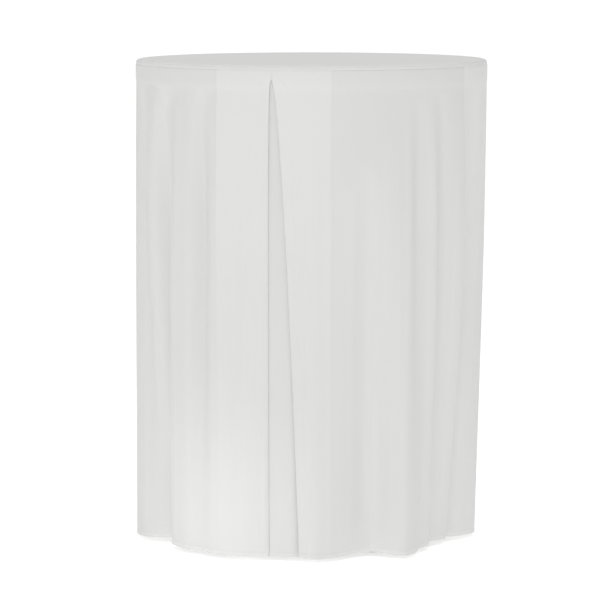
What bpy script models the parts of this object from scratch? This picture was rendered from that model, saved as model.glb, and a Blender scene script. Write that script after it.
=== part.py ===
"""A round cocktail table under a fitted cloth cover, in metres, +Z up.

The origin is on the floor under the middle of the table. Angles run round the table from
the front (-Y) towards the right (+X), in degrees. The cover is a round top panel sewn to
four skirt panels; between two panels an inverted pleat closes over an underlay.
"""

import math

import bmesh
import bpy
from mathutils import Matrix, Vector

# ---- Table: heights and overall sizes
TABLE_HEIGHT = 1.110
TABLE_RADIUS = 0.400
FIT_GAP = 0.0003  # between two pieces that touch

# ---- Board, its edge moulding and the ring that thickens the edge
BOARD_THICKNESS = 0.021
MOULDING_WALL = 0.004
MOULDING_ROUND = 0.0035
BARB_LENGTH = 0.010
BARB_THICKNESS = 0.0024
APRON_HEIGHT = 0.017
APRON_WIDTH = 0.045

# ---- Cast spider under the board, and the screws that hold it
SPIDER_ARM_REACH = 0.280
SPIDER_ARM_WIDTH = 0.045
SPIDER_THICKNESS = 0.005
SPIDER_DISC_RADIUS = 0.055
SPIGOT_LENGTH = 0.024
SCREW_CIRCLES = (0.195, 0.260)
SCREW_SHANK_RADIUS = 0.002
SCREW_LENGTH = 0.019
SCREW_HEAD_RADIUS = 0.0045
SCREW_HEAD_HEIGHT = 0.003
SCREW_HEAD_EDGE = 0.0012

# ---- Column and tie rod
COLUMN_RADIUS = 0.038
COLUMN_WALL = 0.002
ROD_RADIUS = 0.005
ROD_END_BELOW_NUT = 0.003
WASHER_RADIUS = 0.015
WASHER_THICKNESS = 0.002
NUT_ACROSS_FLATS = 0.017
NUT_HEIGHT = 0.008

# ---- Cross base
ARM_COUNT = 4
ARM_ANGLE = 45.0  # of the first arm, spider and base alike
ARM_OVERLAP = 0.028  # how far an arm runs into its hub
BASE_SETBACK = 0.110  # arm tips inside the table's edge
BASE_CLEARANCE = 0.012  # under the casting
BASE_HUB_RADIUS = 0.056
BASE_HUB_HEIGHT = 0.050
COLUMN_LEDGE = 0.004  # flat of the hub round the column
BASE_ARM_ROOT_WIDTH = 0.058
BASE_ARM_TIP_WIDTH = 0.042
BASE_ARM_ROOT_HEIGHT = 0.044
BASE_ARM_TIP_HEIGHT = 0.022
NUT_RECESS_RADIUS = 0.021
NUT_RECESS_DEPTH = 0.018

# ---- Levelling feet
STUD_RADIUS = 0.005
STUD_LENGTH = 0.031
FOOT_PAD_RADIUS = 0.017
FOOT_PAD_HEIGHT = 0.009
FOOT_PAD_FLOOR = 0.003  # plastic left under the stud
FOOT_PAD_BEVEL = 0.0015
FOOT_PAD_SHOULDER = 0.0045

# ---- Cloth cover
CLOTH_THICKNESS = 0.0008
PLY_GAP = 0.0006  # between two layers lying on each other
CLOTH_EASE = 0.0006  # between the table's edge and the innermost layer
RIM_ROUND = 0.008  # rounding of the top panel over the table's edge
RIM_DROP = 0.0095  # top panel's seam below its surface
SEAM_GAP = 0.0004
HEM_HEIGHT = 0.008  # above the floor
PLEAT_COUNT = 4
PLEAT_RETURN = 0.133  # cloth folded back behind each panel's edge
PLEAT_MOUTH = 0.0030  # between two panels' folded edges at the rim
FOLDS_START = 0.045  # below the rim, where the folds leave the table's edge
FOLDS_GROWTH = 1.12  # how the folds deepen towards the hem

# Hem line of each skirt panel: degrees round the table, and how far inside the rim, in mm.
HEM_FOLDS = {
    "front_right": (
        (8, 18), (14, 0), (19, 23), (24.5, 57), (30.5, 79), (36, 82), (39, 50), (42, 4),
        (45, 3), (50, 20), (59.5, 66), (71.5, 90), (83, 88), (91.5, 71),
    ),
    "back_right": (
        (97, 48), (103, 28), (110, 23), (117, 30), (125, 62), (133, 72), (140, 34), (147, 0),
        (155, 8), (163, 38), (169, 46), (174, 34), (177.5, 26),
    ),
    "back_left": (
        (184, 27), (190, 8), (198, 12), (205, 50), (212, 66), (220, 54), (227, 16), (233, 1),
        (240, 18), (248, 60), (256, 62), (262, 30), (267, 26),
    ),
    "front_left": (
        (272, 32), (276, 10), (281, -2), (288, 4), (294.5, 16), (298.5, 56), (302, 74),
        (307, 58), (315, 37), (320.5, 26), (330, 30), (336, 18), (345, 12), (352.5, 13),
        (356.3, 22), (358.2, 38),
    ),
}
# Under each pleat: degrees to the back folds at the hem, how far inside the rim they hang,
# and how far the underlay's middle stands out from them, in mm.
PLEATS = {
    "front": (17.5, 59, 10),
    "right": (18.0, 122, 8),
    "back": (17.5, 72, 10),
    "left": (17.5, 76, 10),
}

# ---- Fineness of the curves
RIM_SEGMENTS = 72
ROUND_SEGMENTS = 32
SMALL_SEGMENTS = 20
SCREW_SEGMENTS = 12
ARC_STEPS = 4
ARM_END_STEPS = 6
PANEL_STEPS = 26
RETURN_STEPS = 5
UNDERLAY_STEPS = 12
CURVE_STEPS = 12
LEVEL_SHARES = (0.0, 0.045, 0.35, 0.68, 1.0)
SHARP_ANGLE = 35.0
MERGE_DISTANCE = 0.00002
MITRE_LIMIT = 0.5  # least cosine that widens an offset corner

# ---- What follows from the sizes above
BOARD_BOTTOM = TABLE_HEIGHT - BOARD_THICKNESS
APRON_TOP = BOARD_BOTTOM - FIT_GAP
EDGE_BOTTOM = APRON_TOP - APRON_HEIGHT
BOARD_RADIUS = TABLE_RADIUS - MOULDING_WALL - FIT_GAP
SPIDER_TOP = BOARD_BOTTOM - FIT_GAP
SPIDER_BOTTOM = SPIDER_TOP - SPIDER_THICKNESS
COLUMN_BORE = COLUMN_RADIUS - COLUMN_WALL
COLUMN_TOP = SPIDER_BOTTOM - FIT_GAP
BASE_TOP = BASE_CLEARANCE + BASE_HUB_HEIGHT
BASE_REACH = TABLE_RADIUS - BASE_SETBACK
FOOT_CIRCLE = BASE_REACH - BASE_ARM_TIP_WIDTH / 2
NUT_SEAT = BASE_CLEARANCE + NUT_RECESS_DEPTH
WASHER_TOP = NUT_SEAT - FIT_GAP
NUT_TOP = WASHER_TOP - WASHER_THICKNESS - FIT_GAP
STUD_BOTTOM = FOOT_PAD_FLOOR + FIT_GAP
COVER_BOTTOM = TABLE_HEIGHT + FIT_GAP
COVER_TOP = COVER_BOTTOM + CLOTH_THICKNESS
SKIRT_TOP = COVER_TOP - RIM_DROP - SEAM_GAP
PLY_STEP = CLOTH_THICKNESS + PLY_GAP
UNDERLAY_RADIUS = TABLE_RADIUS + CLOTH_EASE + CLOTH_THICKNESS / 2
RETURN_RADIUS = UNDERLAY_RADIUS + PLY_STEP
PANEL_RADIUS = RETURN_RADIUS + PLY_STEP
PLEAT_SPACING = 360.0 / PLEAT_COUNT


# ---- Helpers

def clear_scene():
    for old in list(bpy.data.objects):
        bpy.data.objects.remove(old, do_unlink=True)


def linear(code):
    """The linear colour of an sRGB hex code."""
    parts = [int(code[i:i + 2], 16) / 255 for i in (0, 2, 4)]
    return [p / 12.92 if p <= 0.04045 else ((p + 0.055) / 1.055) ** 2.4 for p in parts] + [1.0]


def make_material(name, code, roughness, metallic=0.0):
    material = bpy.data.materials.new(name)
    material.use_nodes = True
    shader = material.node_tree.nodes["Principled BSDF"]
    shader.inputs["Base Color"].default_value = linear(code)
    shader.inputs["Roughness"].default_value = roughness
    shader.inputs["Metallic"].default_value = metallic
    return material


def polar(angle, radius):
    """A point in plan, `angle` degrees round from the front."""
    turn = math.radians(angle)
    return Vector((radius * math.sin(turn), -radius * math.cos(turn)))


def add_object(name, mesh_builder, material=None):
    """An object from a bmesh, with smooth round faces and sharp corners."""
    mesh = bpy.data.meshes.new(name)
    mesh_builder.to_mesh(mesh)
    mesh_builder.free()
    mesh.shade_smooth()
    mesh.set_sharp_from_angle(angle=math.radians(SHARP_ANGLE))
    made = bpy.data.objects.new(name, mesh)
    bpy.context.scene.collection.objects.link(made)
    if material:
        mesh.materials.append(material)
    return made


def turned(name, profile, segments, material=None, closed=True):
    """A turned piece from (radius, height) points; an open profile starts and ends on the axis."""
    bm = bmesh.new()
    points = [bm.verts.new((r, 0.0, z)) for r, z in profile]
    edges = [bm.edges.new(pair) for pair in zip(points, points[1:])]
    if closed:
        edges.append(bm.edges.new((points[-1], points[0])))
    bmesh.ops.spin(
        bm, geom=points + edges, cent=(0, 0, 0), axis=(0, 0, 1),
        angle=math.tau, steps=segments, use_duplicate=False,
    )
    bmesh.ops.remove_doubles(bm, verts=bm.verts, dist=MERGE_DISTANCE)
    bmesh.ops.recalc_face_normals(bm, faces=bm.faces)
    return add_object(name, bm, material)


def prism(name, outline, bottom, top, material=None):
    """A straight prism over a plan outline."""
    bm = bmesh.new()
    floor = bm.faces.new([bm.verts.new((x, y, bottom)) for x, y in outline])
    raised = bmesh.ops.extrude_face_region(bm, geom=[floor])["geom"]
    moved = [item for item in raised if isinstance(item, bmesh.types.BMVert)]
    bmesh.ops.translate(bm, vec=(0, 0, top - bottom), verts=moved)
    bmesh.ops.recalc_face_normals(bm, faces=bm.faces)
    return add_object(name, bm, material)


def rod(name, radius, bottom, top, material=None, segments=SMALL_SEGMENTS):
    return turned(name, [(0, bottom), (radius, bottom), (radius, top), (0, top)],
                  segments, material, closed=False)


def regular_outline(sides, across_flats):
    corner = across_flats / 2 / math.cos(math.pi / sides)
    return [polar(360 * i / sides, corner) for i in range(sides)]


def arc(centre, radius, start, end):
    """Points from `start` to `end` degrees, both included."""
    angles = [math.radians(start + (end - start) * i / ARC_STEPS) for i in range(ARC_STEPS + 1)]
    x, y = centre
    return [(x + radius * math.cos(a), y + radius * math.sin(a)) for a in angles]


def join(target, tool, operation):
    """Adds a live Boolean; its tool stays in the file as a wire guide."""
    tool.hide_render = True
    tool.display_type = "WIRE"
    step = target.modifiers.new(tool.name, "BOOLEAN")
    step.operation = operation
    step.solver = "EXACT"
    step.object = tool


def merged(name, parts):
    """One wire guide from several guides that don't touch each other."""
    bm = bmesh.new()
    for part in parts:
        part.data.transform(part.matrix_world)
        bm.from_mesh(part.data)
        bpy.data.objects.remove(part)
    return add_object(name, bm)


def placed(made, x, y):
    made.location = (x, y, 0.0)
    bpy.context.view_layer.update()
    return made


def arm_angles():
    return [ARM_ANGLE + 360 * i / ARM_COUNT for i in range(ARM_COUNT)]


def arm_outline(root, tip, start, reach):
    """A tapering arm along -Y with a round end; `root` and `tip` are half widths."""
    turns = [math.pi * i / ARM_END_STEPS for i in range(ARM_END_STEPS + 1)]
    end = [(tip * math.cos(a), -reach + tip - tip * math.sin(a)) for a in turns]
    return [(root, -start)] + end + [(-root, -start)]


def along_arm(outline, angle):
    """An outline drawn along -Y, turned to stand at `angle`."""
    turn = Matrix.Rotation(math.radians(angle), 2)
    return [turn @ Vector(point) for point in outline]


# ---- Table top

def moulding_profile():
    """T-shaped edge moulding: outer wall with rounded corners, and a barb into the board."""
    inner = TABLE_RADIUS - MOULDING_WALL
    middle = BOARD_BOTTOM + BOARD_THICKNESS / 2
    tip = inner - BARB_LENGTH
    r = MOULDING_ROUND
    low = arc((TABLE_RADIUS - r, EDGE_BOTTOM + r), r, -90, 0)
    high = arc((TABLE_RADIUS - r, TABLE_HEIGHT - r), r, 0, 90)
    barb = [
        (inner, middle + BARB_THICKNESS / 2), (tip, middle + BARB_THICKNESS / 2),
        (tip, middle - BARB_THICKNESS / 2), (inner, middle - BARB_THICKNESS / 2),
    ]
    return low + high + [(inner, TABLE_HEIGHT)] + barb + [(inner, EDGE_BOTTOM)]


def board_profile():
    """Plywood disc with a groove in its edge that takes the moulding's barb."""
    middle = BOARD_BOTTOM + BOARD_THICKNESS / 2
    half = BARB_THICKNESS / 2 + FIT_GAP
    groove = TABLE_RADIUS - MOULDING_WALL - BARB_LENGTH - FIT_GAP
    return [
        (0, BOARD_BOTTOM), (BOARD_RADIUS, BOARD_BOTTOM), (BOARD_RADIUS, middle - half),
        (groove, middle - half), (groove, middle + half), (BOARD_RADIUS, middle + half),
        (BOARD_RADIUS, TABLE_HEIGHT), (0, TABLE_HEIGHT),
    ]


def screw_places():
    return [polar(angle, radius) for angle in arm_angles() for radius in SCREW_CIRCLES]


def screw_holes(name):
    bottom = SPIDER_BOTTOM - SCREW_HEAD_HEIGHT
    top = SPIDER_BOTTOM + SCREW_LENGTH - SCREW_HEAD_HEIGHT
    holes = [
        placed(rod(f"hole_{i}", SCREW_SHANK_RADIUS + FIT_GAP, bottom, top), *place)
        for i, place in enumerate(screw_places())
    ]
    return merged(name, holes)


def make_board(holes):
    plywood = make_material("birch_plywood", "C9A877", 0.6)
    board = turned("tabletop_board", board_profile(), RIM_SEGMENTS, plywood, closed=False)
    join(board, holes, "DIFFERENCE")
    edge = make_material("edge_pvc", "3A3532", 0.5)
    turned("edge_moulding", moulding_profile(), RIM_SEGMENTS, edge)
    inner = BOARD_RADIUS - APRON_WIDTH
    ring = [
        (inner, EDGE_BOTTOM), (BOARD_RADIUS, EDGE_BOTTOM), (BOARD_RADIUS, APRON_TOP),
        (inner, APRON_TOP),
    ]
    turned("apron_ring", ring, RIM_SEGMENTS, make_material("pine", "D2B384", 0.65))


# ---- Spider, its screws and the column

def make_spider(holes):
    """Flat cross with a disc, and a spigot that enters the column."""
    iron = make_material("spider_iron", "26272A", 0.55, 0.7)
    spigot = COLUMN_BORE - FIT_GAP
    bore = ROD_RADIUS + FIT_GAP
    low = SPIDER_BOTTOM - SPIGOT_LENGTH
    profile = [
        (bore, SPIDER_TOP), (bore, low), (spigot, low), (spigot, SPIDER_BOTTOM),
        (SPIDER_DISC_RADIUS, SPIDER_BOTTOM), (SPIDER_DISC_RADIUS, SPIDER_TOP),
    ]
    spider = turned("top_spider", profile, ROUND_SEGMENTS, iron)
    half = SPIDER_ARM_WIDTH / 2
    outline = arm_outline(half, half, SPIDER_DISC_RADIUS - ARM_OVERLAP, SPIDER_ARM_REACH)
    for i, angle in enumerate(arm_angles()):
        arm = prism(f"spider_arm_{i + 1}", along_arm(outline, angle), SPIDER_BOTTOM, SPIDER_TOP)
        join(spider, arm, "UNION")
    join(spider, holes, "DIFFERENCE")


def make_screws():
    zinc = make_material("zinc_screw", "B9BBBE", 0.35, 1.0)
    seat = SPIDER_BOTTOM - FIT_GAP
    head = seat - SCREW_HEAD_HEIGHT
    tip = head + SCREW_LENGTH
    profile = [
        (0, head), (SCREW_HEAD_RADIUS - SCREW_HEAD_EDGE, head),
        (SCREW_HEAD_RADIUS, head + SCREW_HEAD_EDGE), (SCREW_HEAD_RADIUS, seat),
        (SCREW_SHANK_RADIUS, seat), (SCREW_SHANK_RADIUS, tip - 2 * SCREW_SHANK_RADIUS),
        (0, tip - FIT_GAP),
    ]
    for i, place in enumerate(screw_places()):
        screw = turned(f"spider_screw_{i + 1}", profile, SCREW_SEGMENTS, zinc, closed=False)
        placed(screw, *place)


def make_column():
    enamel = make_material("column_black_enamel", "1D1E20", 0.35)
    bottom = BASE_TOP + FIT_GAP
    tube = [
        (COLUMN_BORE, bottom), (COLUMN_RADIUS, bottom), (COLUMN_RADIUS, COLUMN_TOP),
        (COLUMN_BORE, COLUMN_TOP),
    ]
    turned("column_tube", tube, ROUND_SEGMENTS, enamel)
    zinc = make_material("zinc_rod", "A9ACB0", 0.4, 1.0)
    rod("tie_rod", ROD_RADIUS, NUT_TOP - NUT_HEIGHT - ROD_END_BELOW_NUT, SPIDER_TOP - FIT_GAP, zinc)
    hole = ROD_RADIUS + FIT_GAP
    low = WASHER_TOP - WASHER_THICKNESS
    washer = [(hole, low), (WASHER_RADIUS, low), (WASHER_RADIUS, WASHER_TOP), (hole, WASHER_TOP)]
    turned("tie_rod_washer", washer, SMALL_SEGMENTS, make_material("zinc_washer", "B4B7BA", 0.4, 1.0))
    outline = regular_outline(6, NUT_ACROSS_FLATS)
    nut_zinc = make_material("zinc_nut", "AEB1B5", 0.4, 1.0)
    nut = prism("tie_rod_nut", outline, NUT_TOP - NUT_HEIGHT, NUT_TOP, nut_zinc)
    bore = rod("nut_bore", hole, NUT_TOP - 2 * NUT_HEIGHT, NUT_TOP + NUT_HEIGHT)
    join(nut, bore, "DIFFERENCE")


# ---- Base and feet

def base_arm(name, angle):
    """A tapering arm with a round tip, higher at its root."""
    start = BASE_HUB_RADIUS - ARM_OVERLAP
    outline = arm_outline(BASE_ARM_ROOT_WIDTH / 2, BASE_ARM_TIP_WIDTH / 2, start, BASE_REACH)
    top = BASE_CLEARANCE + BASE_ARM_ROOT_HEIGHT
    arm = prism(name, outline, BASE_CLEARANCE, top)
    run = BASE_REACH - start - BASE_ARM_TIP_WIDTH
    for vertex in arm.data.vertices:
        if vertex.co.z > BASE_CLEARANCE + BASE_ARM_TIP_HEIGHT / 2:
            share = min(1.0, (-vertex.co.y - start) / run)
            vertex.co.z = top - (BASE_ARM_ROOT_HEIGHT - BASE_ARM_TIP_HEIGHT) * share
    arm.rotation_euler.z = math.radians(angle)
    return arm


def make_base():
    """Cast cross with a spigot for the column, a recess for the nut and a hole in each tip."""
    iron = make_material("base_iron", "1F2022", 0.5, 0.3)
    spigot = COLUMN_BORE - FIT_GAP
    bore = ROD_RADIUS + FIT_GAP
    top = BASE_TOP + SPIGOT_LENGTH
    ledge = COLUMN_RADIUS + COLUMN_LEDGE
    profile = [
        (NUT_RECESS_RADIUS, BASE_CLEARANCE), (BASE_HUB_RADIUS, BASE_CLEARANCE),
        (BASE_HUB_RADIUS, BASE_CLEARANCE + BASE_ARM_TIP_HEIGHT), (ledge, BASE_TOP),
        (spigot, BASE_TOP), (spigot, top), (bore, top), (bore, NUT_SEAT),
        (NUT_RECESS_RADIUS, NUT_SEAT),
    ]
    base = turned("base_casting", profile, ROUND_SEGMENTS, iron)
    for i, angle in enumerate(arm_angles()):
        join(base, base_arm(f"base_arm_{i + 1}", angle), "UNION")
    high = BASE_CLEARANCE + BASE_ARM_ROOT_HEIGHT
    holes = [
        placed(rod(f"foot_hole_{i}", STUD_RADIUS + FIT_GAP, 0.0, high), *polar(angle, FOOT_CIRCLE))
        for i, angle in enumerate(arm_angles())
    ]
    join(base, merged("foot_holes", holes), "DIFFERENCE")


def make_feet():
    """Each foot is a stud in the arm's tip with a moulded pad on its lower end."""
    zinc = make_material("zinc_stud", "B1B4B8", 0.4, 1.0)
    nylon = make_material("foot_nylon", "18181A", 0.6)
    hole = STUD_RADIUS + FIT_GAP
    wide, low = FOOT_PAD_RADIUS, FOOT_PAD_BEVEL
    pad = [
        (0, 0), (wide - low, 0), (wide, low), (wide, FOOT_PAD_HEIGHT - low),
        (wide - FOOT_PAD_SHOULDER, FOOT_PAD_HEIGHT), (hole, FOOT_PAD_HEIGHT),
        (hole, FOOT_PAD_FLOOR), (0, FOOT_PAD_FLOOR),
    ]
    for i, angle in enumerate(arm_angles()):
        place = polar(angle, FOOT_CIRCLE)
        stud_top = STUD_BOTTOM + STUD_LENGTH
        placed(rod(f"foot_stud_{i + 1}", STUD_RADIUS, STUD_BOTTOM, stud_top, zinc), *place)
        placed(turned(f"foot_pad_{i + 1}", pad, SMALL_SEGMENTS, nylon, closed=False), *place)


# ---- Cloth cover

def smooth_curve(points):
    """A smooth curve through points in plan (Catmull-Rom)."""
    ends = [2 * points[0] - points[1]] + points + [2 * points[-1] - points[-2]]
    curve = []
    for a, b, c, d in zip(ends, ends[1:], ends[2:], ends[3:]):
        for i in range(CURVE_STEPS):
            s = i / CURVE_STEPS
            curve.append(0.5 * (2 * b + (c - a) * s + (2 * a - 5 * b + 4 * c - d) * s ** 2
                                + (3 * b - a - 3 * c + d) * s ** 3))
    return curve + [points[-1]]


def evenly_spaced(curve, steps):
    """The same curve as steps + 1 points, equally far apart along it."""
    run = [0.0]
    for a, b in zip(curve, curve[1:]):
        run.append(run[-1] + (b - a).length)
    spaced, k = [], 0
    for i in range(steps + 1):
        want = run[-1] * i / steps
        while k < len(run) - 2 and run[k + 1] < want:
            k += 1
        share = (want - run[k]) / (run[k + 1] - run[k])
        spaced.append(curve[k].lerp(curve[k + 1], share))
    return spaced


def to_polar(point, near):
    """Angle (within half a turn of `near`) and radius of a point in plan."""
    angle = math.degrees(math.atan2(point.x, -point.y))
    return near + (angle - near + 180) % 360 - 180, point.length


def growth(share):
    """How far the folds have grown at a share of the skirt's length."""
    start = FOLDS_START / (SKIRT_TOP - HEM_HEIGHT)
    return max(0.0, (share - start) / (1 - start)) ** FOLDS_GROWTH


def hem_line(folds):
    """The panel's hem as (angle, radius) at equal steps of its width."""
    points = [polar(angle, PANEL_RADIUS - depth / 1000) for angle, depth in folds]
    middle = (folds[0][0] + folds[-1][0]) / 2
    return [to_polar(point, middle) for point in evenly_spaced(smooth_curve(points), PANEL_STEPS)]


def panel_row(hem, first, share):
    """The panel's face between its folded edges, at one level, as (angle, radius)."""
    mouth = math.degrees(PLEAT_MOUTH / 2 / PANEL_RADIUS)
    grown = growth(share)
    row = []
    for i, (angle, radius) in enumerate(hem):
        rim = first + mouth + (PLEAT_SPACING - 2 * mouth) * i / PANEL_STEPS
        row.append((rim + (angle - rim) * grown, PANEL_RADIUS + (radius - PANEL_RADIUS) * grown))
    return row


def back_fold(pleat, side, share):
    """Where the return and the underlay are sewn together, as (angle, radius of the return)."""
    centre = PLEAT_SPACING * list(PLEATS).index(pleat)
    hem_angle, tuck, _ = PLEATS[pleat]
    rim_angle = math.degrees(PLEAT_RETURN / RETURN_RADIUS)
    grown = growth(share)
    angle = rim_angle + (hem_angle - rim_angle) * grown
    return centre + side * angle, RETURN_RADIUS - tuck / 1000 * grown


def return_row(edge, pleat, side, share):
    """The cloth folded back behind a panel's edge, from the edge to the back fold."""
    centre = PLEAT_SPACING * list(PLEATS).index(pleat)
    angle, radius = back_fold(pleat, side, share)
    start = (centre + (edge[0] - centre + 180) % 360 - 180, edge[1] - PLY_STEP)
    steps = [i / RETURN_STEPS for i in range(RETURN_STEPS + 1)]
    return [(start[0] + (angle - start[0]) * s, start[1] + (radius - start[1]) * s) for s in steps]


def turn_point(edge, side):
    """The middle of the fold between a panel and its return."""
    middle = edge[1] - PLY_STEP / 2
    return edge[0] - side * math.degrees(PLY_STEP / 2 / middle), middle


def panel_path(hem, index, share):
    """Return, face and return of one panel at one level, in plan."""
    names = list(PLEATS)
    row = panel_row(hem, PLEAT_SPACING * index, share)
    before = return_row(row[0], names[index], 1, share)
    after = return_row(row[-1], names[(index + 1) % PLEAT_COUNT], -1, share)
    path = before[::-1] + [turn_point(row[0], 1)] + row + [turn_point(row[-1], -1)] + after
    return [polar(*place) for place in path]


def underlay_path(pleat, share):
    """The underlay at one level, from back fold to back fold."""
    left, radius = back_fold(pleat, -1, share)
    right, _ = back_fold(pleat, 1, share)
    stand_out = PLEATS[pleat][2] / 1000 * growth(share)
    path = []
    for i in range(UNDERLAY_STEPS + 1):
        s = i / UNDERLAY_STEPS
        bulge = stand_out * math.sin(math.pi * s) ** 2
        path.append(polar(left + (right - left) * s, radius - PLY_STEP + bulge))
    return path


def offset_path(path, distance):
    """The path moved sideways by `distance`, mitred at its corners."""
    moved = []
    for i, point in enumerate(path):
        before = (point - path[i - 1]).normalized() if i else None
        after = (path[i + 1] - point).normalized() if i + 1 < len(path) else None
        along = ((before or after) + (after or before)).normalized()
        mitre = max(MITRE_LIMIT, along.dot(after or before))
        moved.append(point + Vector((along.y, -along.x)) * distance / mitre)
    return moved


def cloth_strip(name, path_at, material):
    """A strip of cloth with its thickness, lofted down through the levels."""
    bm = bmesh.new()
    rings = []
    for share in LEVEL_SHARES:
        path = path_at(share)
        height = SKIRT_TOP + (HEM_HEIGHT - SKIRT_TOP) * share
        outer = offset_path(path, CLOTH_THICKNESS / 2)
        inner = offset_path(path, -CLOTH_THICKNESS / 2)
        rings.append([bm.verts.new((x, y, height)) for x, y in outer + inner[::-1]])
    count = len(rings[0])
    for high, low in zip(rings, rings[1:]):
        for i in range(count):
            # The faces are split the same way on both sides of the cloth.
            a, b = (i, (i + 1) % count) if i < count // 2 else ((i + 1) % count, i)
            bm.faces.new((high[a], high[b], low[b]))
            bm.faces.new((high[a], low[b], low[a]))
    for ring in (rings[0], rings[-1]):
        for i in range(count // 2 - 1):
            bm.faces.new((ring[i], ring[i + 1], ring[count - 2 - i], ring[count - 1 - i]))
    bmesh.ops.recalc_face_normals(bm, faces=bm.faces)
    return add_object(name, bm, material)


def make_top_panel(material):
    """Round panel that lies on the board and turns down over its edge."""
    outer = PANEL_RADIUS + CLOTH_THICKNESS / 2
    inner = outer - CLOTH_THICKNESS
    low = COVER_TOP - RIM_DROP
    centre = (outer - RIM_ROUND, COVER_TOP - RIM_ROUND)
    profile = [(0, COVER_TOP)] + arc(centre, RIM_ROUND, 90, 0) + [(outer, low), (inner, low)]
    profile += arc(centre, RIM_ROUND - CLOTH_THICKNESS, 0, 90) + [(0, COVER_BOTTOM)]
    turned("top_panel", profile, RIM_SEGMENTS, material, closed=False)


def make_cover():
    cloth = make_material("white_polyester", "EDEDEC", 0.85)
    lining = make_material("white_polyester_underlay", "E7E7E6", 0.85)
    make_top_panel(cloth)
    for index, (name, folds) in enumerate(HEM_FOLDS.items()):
        hem = hem_line(folds)
        cloth_strip(f"skirt_panel_{name}", lambda share: panel_path(hem, index, share), cloth)
    for pleat in PLEATS:
        name = f"pleat_underlay_{pleat}"
        cloth_strip(name, lambda share: underlay_path(pleat, share), lining)


def main():
    clear_scene()
    holes = screw_holes("screw_holes")
    make_board(holes)
    make_spider(holes)
    make_screws()
    make_column()
    make_base()
    make_feet()
    make_cover()


main()
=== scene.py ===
"""The looks of a fitted cloth cover on a round cocktail table.

Angles run round the table from the front (-Y) towards the right (+X), in degrees. A drop is
a distance down the skirt from its top edge. Everything is in metres unless a name says mm.
"""

import collections
import math

import bmesh
import bpy
import numpy as np
from bpy.props import FloatProperty, FloatVectorProperty, PointerProperty
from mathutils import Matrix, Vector


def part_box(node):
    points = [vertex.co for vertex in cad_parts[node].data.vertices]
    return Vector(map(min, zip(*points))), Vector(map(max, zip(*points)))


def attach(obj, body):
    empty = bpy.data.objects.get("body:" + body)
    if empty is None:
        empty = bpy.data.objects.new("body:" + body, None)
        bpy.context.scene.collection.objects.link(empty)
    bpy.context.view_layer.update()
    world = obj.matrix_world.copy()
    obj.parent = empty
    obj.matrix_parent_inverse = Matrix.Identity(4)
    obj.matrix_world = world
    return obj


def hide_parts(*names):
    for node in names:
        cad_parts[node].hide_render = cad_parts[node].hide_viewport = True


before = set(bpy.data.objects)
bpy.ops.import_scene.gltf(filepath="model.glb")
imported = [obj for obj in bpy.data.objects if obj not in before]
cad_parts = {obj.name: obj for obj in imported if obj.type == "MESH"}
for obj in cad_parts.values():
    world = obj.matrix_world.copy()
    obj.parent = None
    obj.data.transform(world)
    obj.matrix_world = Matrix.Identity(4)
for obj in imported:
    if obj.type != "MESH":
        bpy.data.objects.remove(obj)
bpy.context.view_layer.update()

bl_info = {
    "name": "Fitted table cover",
    "version": (1, 0, 0),
    "blender": (4, 5, 0),
    "location": "View3D > Sidebar > Cover",
    "description": "Sews the cloth cover round the table, finishes the table and sets the stage",
    "category": "Object",
}

# ---- Sizes that come from the frame
TOP_LOW, TOP_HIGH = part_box("top_panel")
SKIRT_LOW, SKIRT_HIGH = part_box("skirt_panel_front_right")
MOULDING_LOW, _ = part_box("edge_moulding")
COVER_TOP = TOP_HIGH.z
SEAM_HEIGHT = TOP_LOW.z
SKIRT_TOP = SKIRT_HIGH.z
HEM_HEIGHT = SKIRT_LOW.z
COVER_RADIUS = TOP_HIGH.x
EDGE_DROP = SKIRT_TOP - MOULDING_LOW.z  # from the skirt's top to the table's lower edge
SKIRT_LENGTH = SKIRT_TOP - HEM_HEIGHT

# ---- Cloth and how it is sewn
CLOTH_THICKNESS = 0.0005
PLY_STEP = 0.0013  # from the middle of one layer to the middle of the next
RIM_ROUND = 0.0085
SEAM_ROLL = 0.0009  # how far a seam pulls the skirt's edge in
SEAM_ROLL_REACH = 0.0030
SEAM_TUCK = 0.0015  # the skirt's edge goes up behind the top panel's
TOP_ROLL = 0.25 * SEAM_ROLL  # the top panel's edge is pulled in less
EDGE_DRAW = 0.0012  # how far the cloth draws in below the table's edge
PLEAT_COUNT = 4
PLEAT_SPACING = 360 / PLEAT_COUNT
PLEAT_RETURN = 0.133
PLEAT_MOUTH = 0.0012
HEM_BAND = 0.0085
HEM_LIFT = 0.00045  # the turned-up band is this much fuller than the single cloth
HEM_GROOVE = 0.00035  # how deep the hem's stitching pulls in
PUCKER = 0.00035
PUCKER_PITCH = 0.011
PUCKER_REACH = 0.007
PRINT_STEP = 0.0007  # how far several layers lift the face over them
PRINT_RIDGE = 0.0006  # and the ridge over their back fold
TOP_SAG = 0.00025
TOP_SAG_REACH = 0.38
RIM_WAVE_START = 0.385  # the radius at which the top's rim begins to wave, and over how far
RIM_WAVE_RUN = 0.012
# Painted light: the cloth is made lighter over several layers and over the hem's turned-up band.
PAINTED_LAYER_LIGHT_FADE = 0.75  # how much of the whiteness over several layers is gone at the hem
HEM_BAND_PAINTED_LIGHT = 0.8

# ---- How the cloth falls
FOLD_START = 0.04  # share of the length at which most folds leave the rim's curve
FOLD_GROWTH = 1.08
RETURN_SLACK = 0.022  # how far a return bellies in at the hem
UNDERLAY_RIPPLE = 0.0022
UNDERLAY_SEED = 7  # sets where an underlay's hem puckers; a panel's is its number
UNDERLAY_FULLNESS = 0.4  # less is flatter in the middle and rounder at the back folds
WAVE_STRENGTH = 0.55
# Upright waves between the folds: how many round the table, size (mm) and phase.
WAVES = ((53, 0.9, 0.3), (89, 0.5, 2.1), (31, 1.2, 4.0), (137, 0.25, 1.2))
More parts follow.
